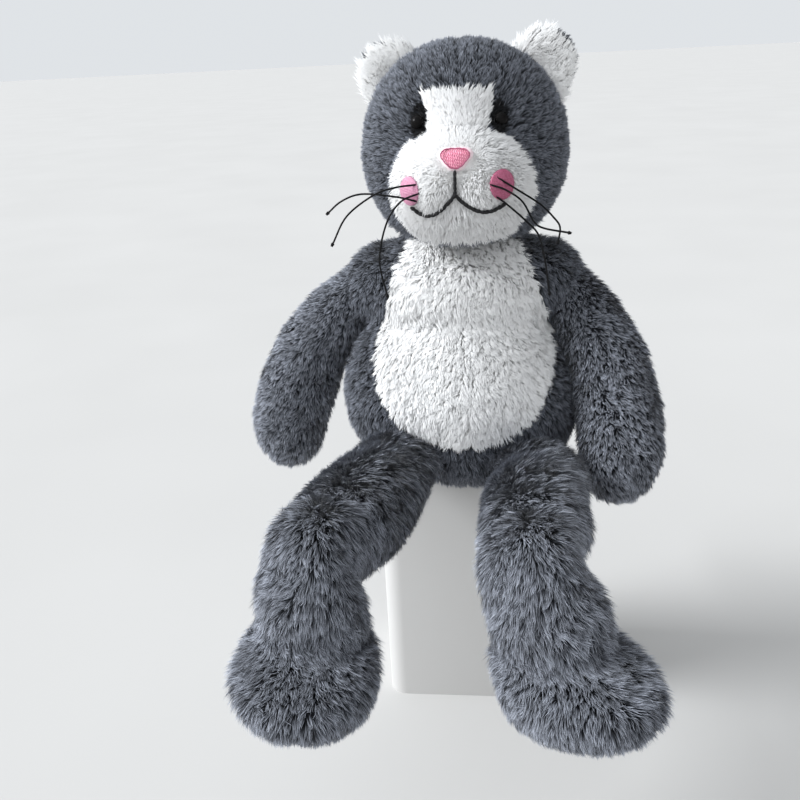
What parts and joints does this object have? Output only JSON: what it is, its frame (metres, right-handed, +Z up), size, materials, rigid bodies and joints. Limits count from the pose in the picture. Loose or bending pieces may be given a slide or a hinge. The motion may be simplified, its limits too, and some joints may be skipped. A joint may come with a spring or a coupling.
{
  "type": "plush cat",
  "caption": "Sitting long-legged plush cat with stuffed head, body, arms, legs and tail that flop at soft joints, sewn from pile fabric panels.",
  "frame": {"origin": "middle of the flat gusset that the cat sits on", "axes": "+Z up, face along -Y, the cat's own left along +X"},
  "size_m": [0.2978, 0.4467, 0.3519],
  "materials": {
    "grey_plush": "dense soft pile about 8 mm long, charcoal grey with paler tips",
    "leg_plush": "dense soft pile about 12 mm long, charcoal grey with silvery tips",
    "white_plush": "dense soft pile, warm white",
    "filling": "white polyester filling",
    "pellet_bag": "woven inner bag of plastic pellets",
    "eye": "polished black safety eye",
    "washer": "plain moulded washer, hidden inside",
    "pink_thread": "satin stitch embroidery",
    "black_thread": "satin stitch embroidery",
    "whisker_cord": "stiff waxed cord"
  },
  "bodies": {
    "torso": {"torso_side_left": "grey_plush", "torso_side_right": "grey_plush", "torso_back_left": "grey_plush", "torso_back_right": "grey_plush", "belly_patch": "white_plush", "seat_gusset": "grey_plush", "torso_stuffing": "filling", "seat_pellet_bag": "pellet_bag"},
    "neck": {"neck_stuffing": "filling"},
    "head": {"head_back_left": "grey_plush", "head_back_right": "grey_plush", "face_side_left": "grey_plush", "face_side_right": "grey_plush", "forehead_blaze": "white_plush", "muzzle": "white_plush", "head_stuffing": "filling", "ear_front_left": "white_plush", "ear_back_left": "grey_plush", "ear_front_right": "white_plush", "ear_back_right": "grey_plush", "eye_left": "eye", "eye_right": "eye", "eye_washer_left": "washer", "eye_washer_right": "washer", "nose_embroidery": "pink_thread", "mouth_stitching": "black_thread", "cheek_spot_left": "pink_thread", "cheek_spot_right": "pink_thread", "whisker_left_upper": "whisker_cord", "whisker_left_middle": "whisker_cord", "whisker_left_lower": "whisker_cord", "whisker_right_upper": "whisker_cord", "whisker_right_middle": "whisker_cord", "whisker_right_lower": "whisker_cord"},
    "arm_left": {"arm_outer_left": "grey_plush", "arm_inner_left": "grey_plush", "arm_stuffing_left": "filling"},
    "thigh_left": {"thigh_outer_left": "leg_plush", "thigh_inner_left": "leg_plush", "thigh_stuffing_left": "filling"},
    "shin_left": {"shin_outer_left": "leg_plush", "shin_inner_left": "leg_plush", "foot_sole_left": "leg_plush", "shin_stuffing_left": "filling", "foot_pellet_bag_left": "pellet_bag"},
    "arm_right": {"arm_outer_right": "grey_plush", "arm_inner_right": "grey_plush", "arm_stuffing_right": "filling"},
    "thigh_right": {"thigh_outer_right": "leg_plush", "thigh_inner_right": "leg_plush", "thigh_stuffing_right": "filling"},
    "shin_right": {"shin_outer_right": "leg_plush", "shin_inner_right": "leg_plush", "foot_sole_right": "leg_plush", "shin_stuffing_right": "filling", "foot_pellet_bag_right": "pellet_bag"},
    "tail": {"tail_cover": "grey_plush", "tail_stuffing": "filling"}
  },
  "joints": [
    {"name": "neck_turn", "type": "hinge", "parent": "torso", "child": "neck", "pos_m": [0, 0.016, 0.146], "axis": [0, 0, 1], "range_deg": [-22, 22]},
    {"name": "head_nod", "type": "hinge", "parent": "neck", "child": "head", "pos_m": [0, 0.016, 0.146], "axis": [1, 0, 0], "range_deg": [-20, 10]},
    {"name": "shoulder_left_swing", "type": "hinge", "parent": "torso", "child": "arm_left", "pos_m": [0.063, 0.018, 0.127], "axis": [-1, 0, 0], "range_deg": [-45, 27]},
    {"name": "hip_left_swing", "type": "hinge", "parent": "torso", "child": "thigh_left", "pos_m": [0.042, -0.072, 0.026], "axis": [1, 0, 0], "range_deg": [-15, 70]},
    {"name": "shoulder_right_swing", "type": "hinge", "parent": "torso", "child": "arm_right", "pos_m": [-0.063, 0.018, 0.127], "axis": [-1, 0, 0], "range_deg": [-20, 62]},
    {"name": "hip_right_swing", "type": "hinge", "parent": "torso", "child": "thigh_right", "pos_m": [-0.042, -0.072, 0.026], "axis": [1, 0, 0], "range_deg": [-15, 70]},
    {"name": "knee_left_bend", "type": "hinge", "parent": "thigh_left", "child": "shin_left", "pos_m": [0.044, -0.206, 0.027], "axis": [-1, 0, 0], "range_deg": [-5, 60]},
    {"name": "knee_right_bend", "type": "hinge", "parent": "thigh_right", "child": "shin_right", "pos_m": [-0.07, -0.203, 0.03], "axis": [-0.9779, 0.209, 0], "range_deg": [-5, 60]},
    {"name": "tail_swing", "type": "hinge", "parent": "torso", "child": "tail", "pos_m": [0, 0.052, 0.024], "axis": [0, 0, 1], "range_deg": [-40, 40]}
  ]
}
